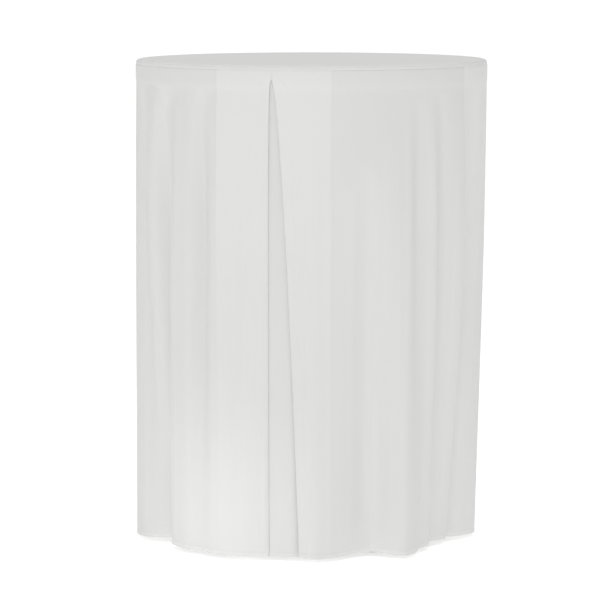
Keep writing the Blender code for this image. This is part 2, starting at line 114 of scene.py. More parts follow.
# Creases from a pleat's top corner: how far they run sideways and down, and their height.
CREASES = ((0.034, 0.046, 0.0007), (0.048, 0.022, 0.0004))
CREASE_WIDTH = 0.0032

# ---- Fineness
FACE_PITCH = 0.0042
EDGE_PITCH = 0.0025
EDGE_ZONE = 0.050  # finer columns this far from a folded edge
RIDGE_PITCH = 0.001
RIDGE_ZONE = 0.008  # and this far to each side of a back fold's print
RETURN_COLUMNS = 22
UNDERLAY_COLUMNS = 72
RIM_COLUMNS = 288
RIM_STEPS = 10
FLAT_CENTRE = 0.36  # the top's rings are further apart inside this radius
FLAT_PITCH = 0.03
NEAR_RIM_PITCH = 0.008
TURNDOWN_STOPS = (0.35, 0.6, 0.8, 0.92, 1.0)  # rings from the round rim down to the seam
SMOOTH_ANGLE = math.radians(50)

FACE_RADIUS = COVER_RADIUS - CLOTH_THICKNESS / 2
RETURN_RADIUS = FACE_RADIUS - PLY_STEP
MOUTH = math.degrees(PLEAT_MOUTH / 2 / FACE_RADIUS)
RETURN_ANGLE = math.degrees(PLEAT_RETURN / RETURN_RADIUS)

# One line of a panel that runs from the rim to the hem: its angle at the rim and at the hem, how
# far inside the rim it hangs at the hem and, at most, above the middle (mm), where it leaves the
# rim's curve (share of the length), and how its angle opens (1 is straight, less is sooner).
Fold = collections.namedtuple("Fold", "rim hem depth upper start lean", defaults=(0, FOLD_START, 1))

FOLDS = {
    "front_right": [
        Fold(0, 8.5, 22, 0, 0.04, 0.65), Fold(7, 11.2, 9, 0, 0.10), Fold(14, 14.5, 0, 0, 0.20),
        Fold(20.5, 20, 20, 0, 0.25), Fold(26, 26, 50, 5, 0.24), Fold(30.5, 32.5, 73, 8, 0.20),
        Fold(35.5, 37.5, 68, -2, 0.16), Fold(40, 40.7, 30, -3, 0.12), Fold(43.5, 43.2, 3, -1, 0.08),
        Fold(46.6, 46, 4, -1, 0.08), Fold(49.3, 51.5, 27, 11, 0.06), Fold(51.8, 57, 56, 0, 0.05),
        Fold(54.6, 63.5, 62, -11, 0.05), Fold(58.6, 69.5, 88, 4, 0.05), Fold(64, 75.5, 84, -8),
        Fold(71, 81.5, 76, -12), Fold(77, 85.5, 84, 2), Fold(81.5, 89, 84, 8),
        Fold(86, 92, 68, 2), Fold(90, 96.6, 50, -2, 0.04, 0.7),
    ],
    "back_right": [
        Fold(90, 95.6, 54, 1, 0.04, 0.7), Fold(97, 103, 28, 0), Fold(104, 110, 23, -2),
        Fold(111, 117, 32, 5), Fold(118.5, 125, 62, 9), Fold(126.5, 133, 70, 4, 0.08),
        Fold(133.5, 140, 32, 0), Fold(139.5, 147, 0, -2), Fold(147, 155, 9, 0, 0.06),
        Fold(155.5, 162.5, 48, 9), Fold(163, 168.5, 60, 6, 0.10), Fold(170.5, 174, 32, 0),
        Fold(180, 177.5, 26, 0, 0.04, 0.6),
    ],
    "back_left": [
        Fold(180, 184, 27, 0, 0.04, 0.6), Fold(187, 190, 8, 0), Fold(196, 198, 12, 0, 0.15),
        Fold(204, 205, 52, 8), Fold(211.5, 212, 67, 7, 0.06), Fold(219.5, 220, 52, 1),
        Fold(227, 227, 14, -1), Fold(234, 233, 0, 0), Fold(242, 240.5, 20, 4),
        Fold(250, 248, 58, 9), Fold(257, 256, 60, 5, 0.08), Fold(263.5, 262, 32, 0),
        Fold(270, 267, 26, 0, 0.04, 0.6),
    ],
    "front_left": [
        Fold(270, 272, 32, 0, 0.04, 0.6), Fold(276, 276, 10, 0), Fold(283, 281, -2, 0),
        Fold(291, 286.5, 4, -2), Fold(297, 291, 14, 6), Fold(301.5, 294.5, 34, 18),
        Fold(306, 297.5, 62, -12), Fold(311, 300.5, 88, -18), Fold(316.8, 304, 92, 18),
        Fold(320.7, 308, 60, 11), Fold(324, 312, 38, -6), Fold(327.5, 318, 29, -5),
        Fold(330.7, 324.5, 24, -1), Fold(334.2, 330.5, 29, 20), Fold(338.5, 337, 17, -2),
        Fold(346, 345, 11, 0, 0.15), Fold(352.5, 352, 13, 0, 0.20), Fold(357, 356, 20, 0, 0.12),
        Fold(360, 357.9, 26, 0, 0.04, 0.25),
    ],
}
# Under each pleat: degrees from its middle to the back folds at the hem, how far inside the rim
# they hang there, and how far the underlay's middle stands out from them (mm).
PLEATS = {
    "front": (17.5, 59, 33),
    "right": (18.0, 96, 40),
    "back": (17.5, 72, 10),
    "left": (17.5, 76, 10),
}
PLEAT_NAMES = list(PLEATS)

# ---- Bar tacks
TACK_THREADS = 16
TACK_WIDTH = 0.011
TACK_DROP = 0.0055  # from the skirt's top to the middle of a tack
STITCH_HEIGHT = 0.0026
STITCH_LEAN = math.radians(9)
THREAD_RADIUS = 0.00032
THREAD_FLATTEN = 1.3

# ---- Flat sizes of the cut cloth
FACE_WIDTH = math.radians(PLEAT_SPACING) * FACE_RADIUS

# ---- Stage
FLOOR_RADIUS = 60.0
GLOW_REACH = 0.7  # the floor's glow changes from this far left to this far right
GLOW_FALL_LEFT = 0.02
GLOW_FALL_RIGHT = 0.06
CAMERA_DISTANCE = 10.12
CAMERA_HEIGHT = 1.506
CAMERA_AZIMUTH = 12.6
CAMERA_PITCH = 5.38
CAMERA_YAW = 0.15
LENS_MM = 263.46


# ---- Materials

WAVE_TEXTURE_RATE = 20  # radians that Blender's wave texture turns through in a unit


def linear(code):
    """The linear colour of an sRGB hex code."""
    parts = [int(code[i:i + 2], 16) / 255 for i in (0, 2, 4)]
    return [p / 12.92 if p <= 0.04045 else ((p + 0.055) / 1.055) ** 2.4 for p in parts] + [1.0]


def per_metre(size_mm):
    """How often a pattern of a size in millimetres comes round in a metre."""
    return 1000 / size_mm


def add_node(tree, kind, inputs=None, out=0, stops=(), **settings):
    """Adds a node and returns one of its outputs. An input is a socket to link, a value or a hex
    code; a colour ramp also has (position, hex code) stops."""
    node = tree.nodes.new(kind)
    for key, value in settings.items():
        setattr(node, key, value)
    for key, value in (inputs or {}).items():
        if isinstance(value, bpy.types.NodeSocket):
            tree.links.new(value, node.inputs[key])
        else:
            node.inputs[key].default_value = linear(value) if isinstance(value, str) else value
    for _ in stops[2:]:
        node.color_ramp.elements.new(1.0)
    for i, (position, code) in enumerate(stops):
        node.color_ramp.elements[i].position = position
        node.color_ramp.elements[i].color = linear(code)
    return node.outputs[out]


def new_material(name, roughness, metallic=0.0, **sockets):
    """A material, its node tree and its shader; `sockets` are further values on the shader."""
    material = bpy.data.materials.new(name)
    material.use_nodes = True
    shader = material.node_tree.nodes["Principled BSDF"]
    shader.inputs["Roughness"].default_value = roughness
    shader.inputs["Metallic"].default_value = metallic
    for key, value in sockets.items():
        shader.inputs[key.replace("_", " ")].default_value = value
    return material, material.node_tree, shader


def feed(shader, sockets):
    """Links sockets to a shader's inputs."""
    for key, socket in sockets.items():
        shader.id_data.links.new(socket, shader.inputs[key])


def polyester(name, single, painted_layer_light):
    """White plain-weave polyester: matt, a little sheen at grazing light, and a painted lighter colour
    where several layers lie on each other. `single` is one layer's colour, the other is that painted
    light."""
    material, tree, shader = new_material(
        name, 0.80, Sheen_Weight=0.12, Sheen_Roughness=0.45, Specular_IOR_Level=0.30,
    )
    place = add_node(tree, "ShaderNodeTexCoord", out="Object")
    plies = add_node(tree, "ShaderNodeAttribute", out="Fac", attribute_name="plies")
    # Painted light: lighter by the plies attribute where several layers lie together, in place of less of
    # the dark inside showing through thin cloth.
    colour = add_node(tree, "ShaderNodeMix", {0: plies, 6: single, 7: painted_layer_light}, 2, data_type="RGBA")
    cloudy = add_node(tree, "ShaderNodeTexNoise", {"Vector": place, "Scale": per_metre(200)})
    part = add_node(tree, "ShaderNodeMath", {0: cloudy, 1: 0.25}, operation="MULTIPLY")
    dulled = add_node(tree, "ShaderNodeMix", {0: part, 6: colour, 7: "DEDEDD"}, 2, data_type="RGBA")
    # Threads lie 0.3 mm apart; they are drawn 1.1 mm apart so that they show close up.
    flat = add_node(tree, "ShaderNodeUVMap", uv_map="cloth")
    half_turns = math.pi * per_metre(1.1)
    waves = {}
    for i, axis in enumerate("XY"):
        along = add_node(tree, "ShaderNodeSeparateXYZ", {"Vector": flat}, axis)
        turn = add_node(tree, "ShaderNodeMath", {0: along, 1: half_turns}, operation="MULTIPLY")
        waves[i] = add_node(tree, "ShaderNodeMath", {0: turn}, operation="SINE")
    weave = add_node(tree, "ShaderNodeMath", waves, operation="MULTIPLY")
    # Thicker stretches of thread are one thread wide and some 17 mm long.
    slub_scale = (per_metre(1.1111), per_metre(16.667), per_metre(1000))
    drawn_out = add_node(tree, "ShaderNodeMapping", {"Vector": flat, "Scale": slub_scale})
    slub = add_node(tree, "ShaderNodeTexNoise", {"Vector": drawn_out, "Scale": 1.0, "Detail": 3.0})
    lift = add_node(tree, "ShaderNodeMath", {0: slub, 1: 1.2}, operation="MULTIPLY")
    height = add_node(tree, "ShaderNodeMath", {0: weave, 1: lift}, operation="ADD")
    relief = add_node(tree, "ShaderNodeBump", {"Height": height, "Distance": 0.0001, "Strength": 0.5})
    feed(shader, {"Base Color": dulled, "Normal": relief})
    return material


def sewing_thread():
    """Bright spun polyester sewing thread: smoother than the cloth, with a soft shine."""
    material, tree, shader = new_material(
        "sewing_thread", 0.45, Sheen_Weight=0.2, Specular_IOR_Level=0.5,
    )
    place = add_node(tree, "ShaderNodeTexCoord", out="Object")
    cloudy = add_node(tree, "ShaderNodeTexNoise", {"Vector": place, "Scale": per_metre(1.1111)})
    stops = [(0.3, "E6E6E4"), (0.7, "F6F6F5")]
    colour = add_node(tree, "ShaderNodeValToRGB", {"Fac": cloudy}, stops=stops)
    fibres = add_node(tree, "ShaderNodeTexNoise", {"Vector": place, "Scale": per_metre(0.4)})
    relief = add_node(tree, "ShaderNodeBump", {"Height": fibres, "Distance": 0.00005, "Strength": 0.6})
    feed(shader, {"Base Color": colour, "Normal": relief})
    return material


def birch_plywood():
    """Lacquered birch plywood: pale figured faces, and plies 1.5 mm thick on its edge."""
    material, tree, shader = new_material("birch_plywood", 0.42, Coat_Weight=0.25)
    place = add_node(tree, "ShaderNodeTexCoord", out="Object")
    # The figure is some 150 mm long and 13 mm wide, and wanders along the board.
    warp = add_node(tree, "ShaderNodeTexNoise", {"Vector": place, "Scale": per_metre(166.67)})
    wander = add_node(tree, "ShaderNodeMath", {0: warp, 1: 2.2}, operation="MULTIPLY")
    figure_scale = (per_metre(151.52), per_metre(13.369), per_metre(151.52))
    figure = add_node(tree, "ShaderNodeMapping", {"Vector": place, "Scale": figure_scale})
    moved = add_node(tree, "ShaderNodeVectorMath", {0: figure, 1: wander}, operation="ADD")
    grain_inputs = {"Vector": moved, "Scale": 1.0, "Detail": 5.0, "Roughness": 0.6}
    grain = add_node(tree, "ShaderNodeTexNoise", grain_inputs)
    stops = [(0.30, "B98F58"), (0.48, "CDA973"), (0.72, "DCC091")]
    face = add_node(tree, "ShaderNodeValToRGB", {"Fac": grain}, stops=stops)
    # A light and a dark ply together are 3 mm thick, and show where the board isn't level.
    height = add_node(tree, "ShaderNodeSeparateXYZ", {"Vector": place}, "Z")
    turns = math.tau * per_metre(3)
    turn = add_node(tree, "ShaderNodeMath", {0: height, 1: turns}, operation="MULTIPLY")
    band = add_node(tree, "ShaderNodeMath", {0: turn}, operation="SINE")
    dark = add_node(tree, "ShaderNodeMath", {0: band, 1: 0.0}, operation="GREATER_THAN")
    normal = add_node(tree, "ShaderNodeNewGeometry", out="Normal")
    up = add_node(tree, "ShaderNodeSeparateXYZ", {"Vector": normal}, "Z")
    slope = add_node(tree, "ShaderNodeMath", {0: up}, operation="ABSOLUTE")
    edge = add_node(tree, "ShaderNodeMath", {0: slope, 1: 0.5}, operation="LESS_THAN")
    plies = add_node(tree, "ShaderNodeMath", {0: edge, 1: dark}, operation="MULTIPLY")
    colour = add_node(tree, "ShaderNodeMix", {0: plies, 6: face, 7: "9C7647"}, 2, data_type="RGBA")
    relief = add_node(tree, "ShaderNodeBump", {"Height": grain, "Distance": 0.0002, "Strength": 0.5})
    feed(shader, {"Base Color": colour, "Normal": relief})
    return material


def planed_pine():
    """Planed softwood: pale, with darker latewood lines about 8 mm apart and a dry, open grain."""
    material, tree, shader = new_material("planed_pine", 0.62)
    place = add_node(tree, "ShaderNodeTexCoord", out="Object")
    wave_inputs = {
        "Vector": place, "Scale": math.tau / WAVE_TEXTURE_RATE * per_metre(7.854), "Distortion": 5.0,
        "Detail": 3.0, "Detail Scale": 0.6,
    }
    rings = add_node(tree, "ShaderNodeTexWave", wave_inputs, "Fac", wave_type="RINGS", rings_direction="Z")
    fibre_scale = (per_metre(55.556), per_metre(55.556), per_metre(2.0833))
    fibres = add_node(tree, "ShaderNodeMapping", {"Vector": place, "Scale": fibre_scale})
    grain = add_node(tree, "ShaderNodeTexNoise", {"Vector": fibres, "Scale": 1.0, "Detail": 4.0})
    stops = [(0.2, "D9BC8C"), (0.7, "CDA873"), (1.0, "B0824B")]
    wood = add_node(tree, "ShaderNodeValToRGB", {"Fac": rings}, stops=stops)
    part = add_node(tree, "ShaderNodeMath", {0: grain, 1: 0.3}, operation="MULTIPLY")
    colour = add_node(tree, "ShaderNodeMix", {0: part, 6: wood, 7: "C49A61"}, 2, data_type="RGBA")
    relief = add_node(tree, "ShaderNodeBump", {"Height": grain, "Distance": 0.0003, "Strength": 0.4})
    feed(shader, {"Base Color": colour, "Normal": relief})
    return material


def moulded_plastic(name, dark, light, roughness, grit_mm):
    """Moulded plastic: an even colour, with the fine grain of a spark-eroded mould."""
    material, tree, shader = new_material(name, roughness, Specular_IOR_Level=0.45)
    place = add_node(tree, "ShaderNodeTexCoord", out="Object")
    cloudy = add_node(tree, "ShaderNodeTexNoise", {"Vector": place, "Scale": per_metre(83.333)})
    stops = [(0.35, dark), (0.65, light)]
    colour = add_node(tree, "ShaderNodeValToRGB", {"Fac": cloudy}, stops=stops)
    grit_inputs = {"Vector": place, "Scale": per_metre(grit_mm), "Detail": 3.0}
    grit = add_node(tree, "ShaderNodeTexNoise", grit_inputs)
    relief = add_node(tree, "ShaderNodeBump", {"Height": grit, "Distance": 0.00015, "Strength": 0.5})
    feed(shader, {"Base Color": colour, "Normal": relief})
    return material


def painted_iron(name, dark, light, roughness, grit_mm, relief_height):
    """Painted casting or tube: paint over a sandy or orange-peel surface, rubbed a little, so
    that it shines in patches."""
    material, tree, shader = new_material(name, roughness, Coat_Weight=0.15, Coat_Roughness=0.35)
    place = add_node(tree, "ShaderNodeTexCoord", out="Object")
    worn_inputs = {"Vector": place, "Scale": per_metre(55.556), "Detail": 5.0, "Roughness": 0.65}
    worn = add_node(tree, "ShaderNodeTexNoise", worn_inputs)
    stops = [(0.35, dark), (0.75, light)]
    colour = add_node(tree, "ShaderNodeValToRGB", {"Fac": worn}, stops=stops)
    rough_inputs = {"Value": worn, "To Min": roughness - 0.08, "To Max": roughness + 0.10}
    rough = add_node(tree, "ShaderNodeMapRange", rough_inputs)
    grit_inputs = {"Vector": place, "Scale": per_metre(grit_mm), "Detail": 4.0, "Roughness": 0.55}
    grit = add_node(tree, "ShaderNodeTexNoise", grit_inputs)
    bump_inputs = {"Height": grit, "Distance": relief_height, "Strength": 0.6}
    relief = add_node(tree, "ShaderNodeBump", bump_inputs)
    feed(shader, {"Base Color": colour, "Roughness": rough, "Normal": relief})
    return material


def zinc_plate():
    """Bright zinc plate on steel: fine turned lines and a slightly clouded shine."""
    material, tree, shader = new_material("zinc_plate", 0.34, 1.0)
    place = add_node(tree, "ShaderNodeTexCoord", out="Object")
    cloud_inputs = {"Vector": place, "Scale": per_metre(7.1429), "Detail": 4.0, "Roughness": 0.6}
    cloudy = add_node(tree, "ShaderNodeTexNoise", cloud_inputs)
    stops = [(0.3, "9EA3A8"), (0.7, "C9CDD1")]
    colour = add_node(tree, "ShaderNodeValToRGB", {"Fac": cloudy}, stops=stops)
    rough = add_node(tree, "ShaderNodeMapRange", {"Value": cloudy, "To Min": 0.26, "To Max": 0.46})
    line_scale = (per_metre(5), per_metre(5), per_metre(0.22222))
    turned = add_node(tree, "ShaderNodeMapping", {"Vector": place, "Scale": line_scale})
    lines = add_node(tree, "ShaderNodeTexNoise", {"Vector": turned, "Scale": 1.0})
    relief = add_node(tree, "ShaderNodeBump", {"Height": lines, "Distance": 0.00006, "Strength": 0.5})
    feed(shader, {"Base Color": colour, "Roughness": rough, "Normal": relief})
    return material


def studio_floor(level):
    """Matt white studio floor that glows a little, as a light table does."""
    material, tree, shader = new_material("studio_floor", 0.9, Specular_IOR_Level=0.1)
    shader.inputs["Emission Color"].default_value = linear("FFFFFF")
    place = add_node(tree, "ShaderNodeTexCoord", out="Object")
    cloudy = add_node(tree, "ShaderNodeTexNoise", {"Vector": place, "Scale": per_metre(1428.6)})
    stops = [(0.3, "F2F2F1"), (0.7, "F5F5F4")]
    colour = add_node(tree, "ShaderNodeValToRGB", {"Fac": cloudy}, stops=stops)
    across = add_node(tree, "ShaderNodeSeparateXYZ", {"Vector": place}, "X")
    glow_inputs = {
        "Value": across, "From Min": -GLOW_REACH, "From Max": GLOW_REACH,
        "To Min": level - GLOW_FALL_LEFT, "To Max": level - GLOW_FALL_RIGHT,
    }
    glow = add_node(tree, "ShaderNodeMapRange", glow_inputs)
    feed(shader, {"Base Color": colour, "Emission Strength": glow})
    return material


# ---- Sheets of cloth as grids

def ease(share):
    """0 to 1 with flat ends."""
    share = np.clip(share, 0.0, 1.0)
    return share * share * (3 - 2 * share)


def through(knots, values, at):
    """Rows of `values` read at `at`, on smooth curves through them at the knots."""
    slopes = np.gradient(values, knots, axis=0)
    k = np.clip(np.searchsorted(knots, at) - 1, 0, len(knots) - 2)
    span = (knots[k + 1] - knots[k])[:, None]
    s = (at - knots[k])[:, None] / span
    return ((2 * s ** 3 - 3 * s ** 2 + 1) * values[k] + (s ** 3 - 2 * s ** 2 + s) * span * slopes[k]
            + (3 * s ** 2 - 2 * s ** 3) * values[k + 1] + (s ** 3 - s ** 2) * span * slopes[k + 1])


def spaced(stops):
    """Even steps between (end, step) stops, from 0."""
    places = [0.0]
    for end, step in stops:
        count = max(1, round((end - places[-1]) / step))
        places += list(np.linspace(places[-1], end, count + 1)[1:])
    return np.array(places)


def row_drops():
    """Drops of the rows: close together at the seam, the table's edge and the hem."""
    low = SKIRT_LENGTH
    return np.concatenate([[-SEAM_TUCK], spaced([
        (0.004, 0.0008), (0.012, 0.002), (0.10, 0.0045), (0.16, 0.006), (low - 0.05, 0.0105),
        (low - 0.016, 0.005), (low - HEM_BAND - 0.002, 0.0016), (low - HEM_BAND + 0.001, 0.0006),
        (low - 0.001, 0.0015), (low, 0.0005),
    ])])


def growth(share, start):
    """How far a fold has opened at a share of the skirt's length."""
    return np.clip((share - start) / (1 - start), 0.0, 1.0) ** FOLD_GROWTH


def belly(share, start):
    """A swelling that is fullest a third of the way down and gone at the hem."""
    part = np.clip((share - start) / (1 - start), 0.0, 1.0)
    return 27 / 4 * part * (1 - part) ** 2


def fold_table(folds, share):
    """Angle and depth of each fold line at each row, as two arrays."""
    angles, depths = [], []
    for fold in folds:
        part = np.clip((share - 0.02) / 0.98, 0.0, 1.0) ** fold.lean
        angles.append(fold.rim + (fold.hem - fold.rim) * part)
        depth = fold.depth * growth(share, fold.start) + fold.upper * belly(share, fold.start)
        depths.append(depth / 1000)
    return np.array(angles), np.array(depths)


def edge_relief(drop):
    """The cloth lies on the table's edge and draws in just below it."""
    return EDGE_DRAW * ease((drop - EDGE_DROP) / 0.020) * (1 - 0.6 * ease((drop - 0.12) / 0.3))


def seam_roll(drop):
    """How far the seam at the rim pulls the skirt in."""
    return SEAM_ROLL * np.clip(1 - drop / SEAM_ROLL_REACH, 0.0, 1.0) ** 2


def soft_waves(angle, share, seed):
    """Shallow upright waves that a hanging cloth shows between its folds."""
    turn = np.radians(angle)
    total = 0
    for count, size, phase in WAVES:
        drift = 1.4 * np.sin(2.1 * share + phase + seed)
        total = total + size * np.sin(count * turn + phase * 5 + seed * 1.7 + drift)
    return total / 1000 * ease((share - 0.05) / 0.35) * WAVE_STRENGTH


def hem_shape(drop, along, seed):
    """Outward fullness of the turned-up hem, with the small puckers its stitching makes."""
    up = SKIRT_LENGTH - drop
    band = HEM_LIFT * (1 - ease((up - HEM_BAND) / 0.0012))
    groove = -HEM_GROOVE * np.exp(-((up - HEM_BAND + 0.0012) / 0.0007) ** 2)
    wander = 0.9 * np.sin(along * 61 + seed) + 0.7 * np.sin(along * 143 + 2 * seed)
    pull = np.sin(math.tau * along / PUCKER_PITCH + wander * 2.2)
    near = np.exp(-((up - HEM_BAND) / PUCKER_REACH) ** 2)
    return band + groove + PUCKER * pull * near * (0.55 + 0.45 * np.sin(along * 23 + seed))


def ply_ridge(along, drop, fold_at, side):
    """The step and ridge that a back fold's seam prints on the face over it."""
    inside = side * (along - fold_at)
    step = PRINT_STEP * ease((inside + 0.002) / 0.004)
    ridge = PRINT_RIDGE * np.exp(-(inside / 0.0016) ** 2)
    fade = 1 - ease((drop / SKIRT_LENGTH - 0.10) / 0.28)
    return (step + ridge) * fade


def creases(along, drop, edge_at, side):
    """Short slanting creases that run out from a pleat's top corner."""
    total = 0
    for reach, fall, size in CREASES:
        x, y = side * (along - edge_at) - 0.003, drop - 0.006
        length = math.hypot(reach, fall)
        way = (x * reach + y * fall) / length
        off = (x * fall - y * reach) / length
        part = way / length
        ends = ease(part / 0.2) * (1 - ease((part - 0.55) / 0.5))
        total = total + size * np.exp(-(off / CREASE_WIDTH) ** 2) * ends
    return total


def to_points(angle, radius, height):
    """Points from angles round the table, radii and heights."""
    turn = np.radians(angle)
    return np.stack([radius * np.sin(turn), -radius * np.cos(turn), height], axis=-1)


def fallen(points, drop):
    """The rows' heights once each thread keeps its length although it hangs at a slant."""
    across = np.linalg.norm(points[:, -1, :2] - points[:, 0, :2], axis=1)
    upright = np.sqrt(np.maximum(SKIRT_LENGTH ** 2 - across ** 2, 0.0)) / SKIRT_LENGTH
    return SKIRT_TOP - drop[None, :] * upright[:, None]


def grid_object(name, points, along, drop, plies, material):
    """A sheet from points[column, row], with its UV map and its plies attribute, the share of painted
    light that several layers get.
    """
    columns, rows = points.shape[:2]
    mesh = bpy.data.meshes.new(name)
    index = np.arange(columns * rows).reshape(columns, rows)
    quads = np.stack([index[:-1, :-1], index[:-1, 1:], index[1:, 1:], index[1:, :-1]], axis=-1)
    mesh.from_pydata(points.reshape(-1, 3).tolist(), [], quads.reshape(-1, 4).tolist())
    layer = mesh.uv_layers.new(name="cloth")
    corner = np.empty(len(mesh.loops), np.int32)
    mesh.loops.foreach_get("vertex_index", corner)
    flat = np.stack([np.repeat(along, rows), np.tile(-drop, columns)], axis=-1)
    layer.data.foreach_set("uv", flat[corner].astype(np.float32).ravel())
    kept = mesh.attributes.new("plies", "FLOAT", "POINT")
    kept.data.foreach_set("value", np.asarray(plies, np.float32).ravel())
    mesh.shade_smooth()
    mesh.materials.append(material)
    made = bpy.data.objects.new(name, mesh)
    bpy.context.scene.collection.objects.link(made)
    return made


def thicken(sheet):
    """Gives a sheet its thickness and closes its edges."""
    bpy.ops.object.select_all(action="DESELECT")
    bpy.context.view_layer.objects.active = sheet
    sheet.select_set(True)
    step = sheet.modifiers.new("cloth", "SOLIDIFY")
    step.thickness = bpy.context.scene.cover.thickness
    step.offset = 0.0
    step.use_even_offset = False
    bpy.ops.object.modifier_apply(modifier=step.name)
    bpy.ops.object.shade_smooth_by_angle(angle=SMOOTH_ANGLE)
    sheet.select_set(False)
    return sheet


# ---- Skirt panels and underlays

def face_columns():
    """Distances along a face from its first folded edge, finer at edges and over back folds."""
    width = FACE_WIDTH - PLEAT_MOUTH
    half = spaced([
        (EDGE_ZONE, EDGE_PITCH), (PLEAT_RETURN - RIDGE_ZONE, FACE_PITCH),
        (PLEAT_RETURN + RIDGE_ZONE, RIDGE_PITCH), (width / 2, FACE_PITCH),
    ])
    return np.concatenate([half, (width - half[:-1])[::-1]])


def face_rows(name, drop):
    """Angles and radii of a panel's face, over its columns and rows."""
    folds = FOLDS[name]
    first = folds[0].rim
    share = drop / SKIRT_LENGTH
    angles, depths = fold_table(folds, share)
    angles[0] += MOUTH
    angles[-1] -= MOUTH
    knots = np.array([fold.rim for fold in folds], float)
    knots[0], knots[-1] = first + MOUTH, folds[-1].rim - MOUTH
    along = face_columns()
    at = first + MOUTH + np.degrees(along / FACE_RADIUS)
    at[-1] = knots[-1]
    angle = through(knots, angles, at)
    inside = through(knots, depths, at)
    inner = ease(np.minimum(along, along[-1] - along) / 0.03)[:, None]
    waves = soft_waves(at[:, None], share[None, :], first) * inner
    radius = FACE_RADIUS - inside - edge_relief(drop) + waves - seam_roll(drop)
    a, d = along[:, None], drop[None, :]
    for edge, side in ((0.0, 1), (along[-1], -1)):
        radius += ply_ridge(a, d, edge + side * PLEAT_RETURN, -side)
        radius += creases(a, d, edge, side)
    return along, angle, radius


def back_fold(pleat, side, share):
    """Angle and radius of a back fold, where a return meets the underlay."""
    middle = PLEAT_SPACING * PLEAT_NAMES.index(pleat)
    hem_angle, tuck, _ = PLEATS[pleat]
    grown = growth(share, FOLD_START)
    angle = middle + side * (RETURN_ANGLE + (hem_angle - RETURN_ANGLE) * grown)
    return angle, RETURN_RADIUS - tuck / 1000 * grown


def return_rows(edge_angle, edge_radius, pleat, side, share, drop):
    """The cloth turned back behind a folded edge, from the fold to the back fold."""
    middle = PLEAT_SPACING * PLEAT_NAMES.index(pleat)
    angle, radius = back_fold(pleat, side, share)
    start = middle + (edge_angle - middle + 180) % 360 - 180
    part = np.linspace(0, 1, RETURN_COLUMNS + 1)[:, None]
    slack = RETURN_SLACK * growth(share, 0.10) * np.sin(math.pi * part) ** 2
    behind = edge_radius - PLY_STEP
    rows = behind + (radius - edge_relief(drop) - behind) * part - slack
    return start + (angle - start) * part, rows


def tucked(layer, angles, radii):
    """A layer's angles and radii, moved in to lie behind another layer where that is deeper."""
    angle, radius = layer
    angle = angle + np.round((angles.mean() - angle.mean()) / 360) * 360
    radius = radius.copy()
    for row in range(radius.shape[1]):
        order = np.argsort(angles[:, row])
        cover = np.interp(angle[:, row], angles[order, row], radii[order, row], np.inf, np.inf)
        radius[:, row] = np.minimum(radius[:, row], cover - PLY_STEP)
    return angle, radius


def skirt_layers(name, drop):
    """A panel's columns, its face and its first and last return, each as angles and radii."""
    index = list(FOLDS).index(name)
    share = drop / SKIRT_LENGTH
    along, angle, radius = face_rows(name, drop)
    before, after = PLEAT_NAMES[index], PLEAT_NAMES[(index + 1) % PLEAT_COUNT]
    first = return_rows(angle[0], radius[0], before, 1, share, drop)
    last = return_rows(angle[-1], radius[-1], after, -1, share, drop)
    return along, (angle, radius), tucked(first, angle, radius), tucked(last, angle, radius)


def build_skirt_panel(name, material):
    """One panel's face and its two returns, as one sheet."""
    index = list(FOLDS).index(name)
    drop = row_drops()
    share = drop / SKIRT_LENGTH
    along, (angle, radius), first, last = skirt_layers(name, drop)
    turn = np.degrees(PLY_STEP / 2 / FACE_RADIUS)
    angles = np.concatenate([
        first[0][::-1], (angle[0] - turn)[None], angle, (angle[-1] + turn)[None], last[0],
    ])
    radii = np.concatenate([
        first[1][::-1], (radius[0] - PLY_STEP / 2)[None], radius,
        (radius[-1] - PLY_STEP / 2)[None], last[1],
    ])
    back = np.linspace(0, PLEAT_RETURN, RETURN_COLUMNS + 1)
    reach = along[-1]
    flat = np.concatenate([
        -back[::-1] - 2 * PLY_STEP, [-PLY_STEP], along, [reach + PLY_STEP], reach + back + 2 * PLY_STEP,
    ])
    radii += hem_shape(drop[None, :], flat[:, None], index)
    points = to_points(angles, radii, -drop[None, :] + np.zeros_like(radii))
    points[..., 2] = fallen(points, drop)
    # Painted light over the band where the returns lie behind the face, fading down the skirt, and over
    # the turned-up hem band.
    near_edge = np.minimum(flat, reach - flat)[:, None]
    whiter = 1 - ease((near_edge - PLEAT_RETURN + 0.002) / 0.004)
    layers = whiter * (1 - PAINTED_LAYER_LIGHT_FADE * ease((share[None, :] - 0.15) / 0.5))
    band = 1 - ease((SKIRT_LENGTH - drop[None, :] - HEM_BAND) / 0.001)
    plies = np.maximum(layers, HEM_BAND_PAINTED_LIGHT * band)
    sheet = grid_object(f"skirt_{name}", points, flat, drop, plies, material)
    return thicken(sheet)


